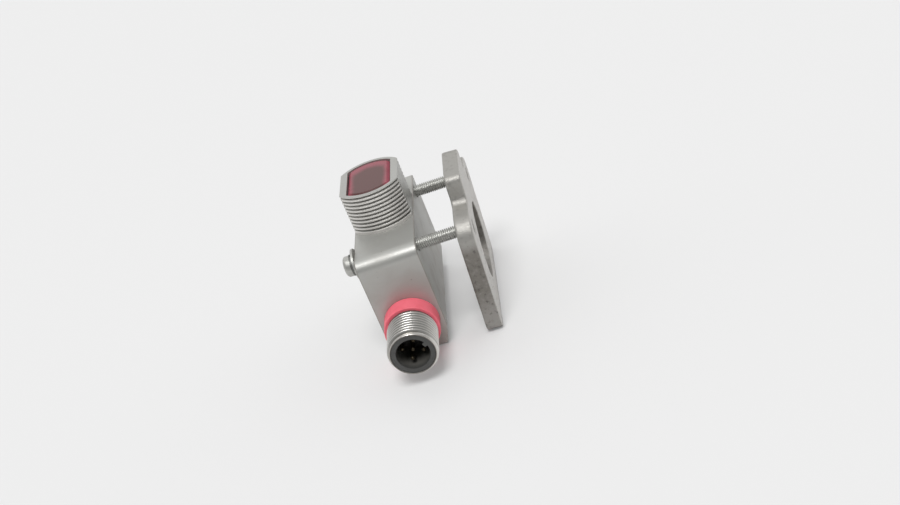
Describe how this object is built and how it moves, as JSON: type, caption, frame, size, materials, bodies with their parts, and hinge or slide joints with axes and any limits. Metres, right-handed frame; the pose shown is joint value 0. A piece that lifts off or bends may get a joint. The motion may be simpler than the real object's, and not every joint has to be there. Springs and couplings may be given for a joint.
{
  "type": "laser sensor",
  "caption": "Compact laser distance sensor: stainless block with threaded barrel, red window, round plug and keyed cup, on long screws through a thick bracket plate.",
  "frame": {"origin": "on the flat back of the sensor, on the barrel's axis, where the sensor stands in the picture", "axes": "+Z out of the barrel along the laser beam, -Y along the connector, +X from the screw heads to the bracket plate"},
  "size_m": [0.0323, 0.0516, 0.0387],
  "materials": {
    "stainless": "satin stainless steel with faint handling marks",
    "red_window": "clear red filter window with a bevelled, brighter border",
    "seal_rubber": "black seal rubber",
    "black_plastic": "black moulded plastic",
    "lens_glass": "clear glass",
    "bright_metal": "gold-plated metal can",
    "chip_black": "black moulded chip case",
    "board_green": "green circuit board",
    "display_face": "dark display block with pale bars",
    "lamp_amber": "amber clear lamp body",
    "smoked_panel": "smoked clear panel",
    "button_grey": "soft grey button moulding",
    "coral_plastic": "coral-red moulded ring",
    "connector_black": "black connector moulding",
    "gold_contact": "gold-plated contact pins",
    "screw_steel": "bright steel screws and washers",
    "cast_plate": "rough grey cast metal with pits, polished on the corners"
  },
  "bodies": {
    "body": {"housing": "stainless", "front_window": "red_window", "window_seal": "seal_rubber", "optics_carrier": "black_plastic", "receiver_lens": "lens_glass", "collimator_lens": "lens_glass", "laser_diode": "bright_metal", "receiver_chip": "chip_black", "optics_board": "board_green", "main_board": "board_green", "board_chips": "chip_black", "display_board": "board_green", "display_module": "display_face", "status_lamps": "lamp_amber", "tact_switches": "chip_black", "back_panel": "smoked_panel", "panel_seal": "seal_rubber", "connector_shell": "stainless", "connector_seal": "seal_rubber", "colour_ring": "coral_plastic", "connector_insert": "connector_black", "contact_pins": "gold_contact", "clamp_screws": "screw_steel", "flat_washers": "screw_steel", "spring_washers": "screw_steel", "bracket_plate": "cast_plate"},
    "select_key": {"select_button": "button_grey"},
    "teach_key": {"teach_button": "button_grey"}
  },
  "joints": [
    {"name": "select_press", "type": "slide", "parent": "body", "child": "select_key", "axis": [0, 0, 1], "range_m": [0, 0.0004], "stiffness_N_per_m": 800, "springref_m": -0.0005},
    {"name": "teach_press", "type": "slide", "parent": "body", "child": "teach_key", "axis": [0, 0, 1], "range_m": [0, 0.0004], "stiffness_N_per_m": 800, "springref_m": -0.0005}
  ]
}
